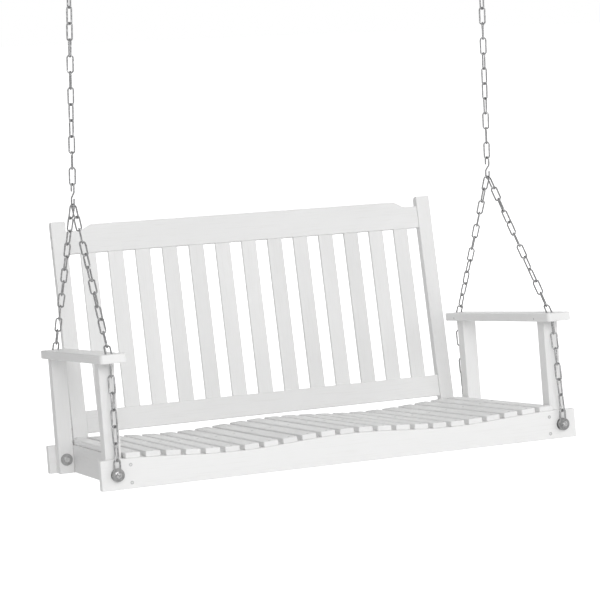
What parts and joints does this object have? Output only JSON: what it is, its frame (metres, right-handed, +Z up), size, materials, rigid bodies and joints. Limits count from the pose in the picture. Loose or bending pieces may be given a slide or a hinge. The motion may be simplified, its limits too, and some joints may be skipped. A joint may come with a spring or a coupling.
{
  "type": "porch swing",
  "caption": "Wooden slatted porch swing bench with arms, hung by link chains that pass through the arms and bolt to the seat frame.",
  "frame": {"origin": "midway between the centres of the two ceiling eyes' rings, on the axis the swing turns about", "axes": "+Z up, the sitter faces -Y, +X to the right as seen from the front, along the line through the two ceiling eyes; the bench is stored hanging at rest"},
  "size_m": [1.2, 0.7506, 1.3211],
  "materials": {
    "painted_wood": "satin white paint",
    "galvanized_steel": "dull galvanized"
  },
  "bodies": {
    "ceiling_eyes": {"ceiling_eyes": "galvanized_steel"},
    "upper_chains": {"left_upper_chain": "galvanized_steel", "right_upper_chain": "galvanized_steel"},
    "bench": {"left_hanger_chain": "galvanized_steel", "right_hanger_chain": "galvanized_steel", "front_board": "painted_wood", "rear_board": "painted_wood", "middle_board": "painted_wood", "left_side_board": "painted_wood", "right_side_board": "painted_wood", "seat_slat_01": "painted_wood", "seat_slat_02": "painted_wood", "seat_slat_03": "painted_wood", "seat_slat_04": "painted_wood", "seat_slat_05": "painted_wood", "seat_slat_06": "painted_wood", "seat_slat_07": "painted_wood", "seat_slat_08": "painted_wood", "seat_slat_09": "painted_wood", "seat_slat_10": "painted_wood", "seat_slat_11": "painted_wood", "seat_slat_12": "painted_wood", "seat_slat_13": "painted_wood", "seat_slat_14": "painted_wood", "seat_slat_15": "painted_wood", "seat_slat_16": "painted_wood", "seat_slat_17": "painted_wood", "seat_slat_18": "painted_wood", "seat_slat_19": "painted_wood", "seat_slat_20": "painted_wood", "seat_slat_21": "painted_wood", "seat_slat_22": "painted_wood", "seat_slat_23": "painted_wood", "left_back_post": "painted_wood", "right_back_post": "painted_wood", "back_top_rail": "painted_wood", "back_bottom_rail": "painted_wood", "back_slat_01": "painted_wood", "back_slat_02": "painted_wood", "back_slat_03": "painted_wood", "back_slat_04": "painted_wood", "back_slat_05": "painted_wood", "back_slat_06": "painted_wood", "back_slat_07": "painted_wood", "back_slat_08": "painted_wood", "back_slat_09": "painted_wood", "back_slat_10": "painted_wood", "back_slat_11": "painted_wood", "back_slat_12": "painted_wood", "back_slat_13": "painted_wood", "left_front_arm_post": "painted_wood", "right_front_arm_post": "painted_wood", "left_rear_arm_post": "painted_wood", "right_rear_arm_post": "painted_wood", "left_arm": "painted_wood", "right_arm": "painted_wood", "chain_bolts": "galvanized_steel", "bolt_washers": "galvanized_steel", "bolt_nuts": "galvanized_steel", "wood_screws": "galvanized_steel"}
  },
  "joints": [
    {"name": "swing", "type": "hinge", "parent": "ceiling_eyes", "child": "upper_chains", "pos_m": [0, 0, 0], "axis": [1, 0, 0], "range_deg": [-25, 25]},
    {"name": "rock", "type": "hinge", "parent": "upper_chains", "child": "bench", "pos_m": [0, 0, -0.55042], "axis": [1, 0, 0], "range_deg": [-12, 12]}
  ]
}
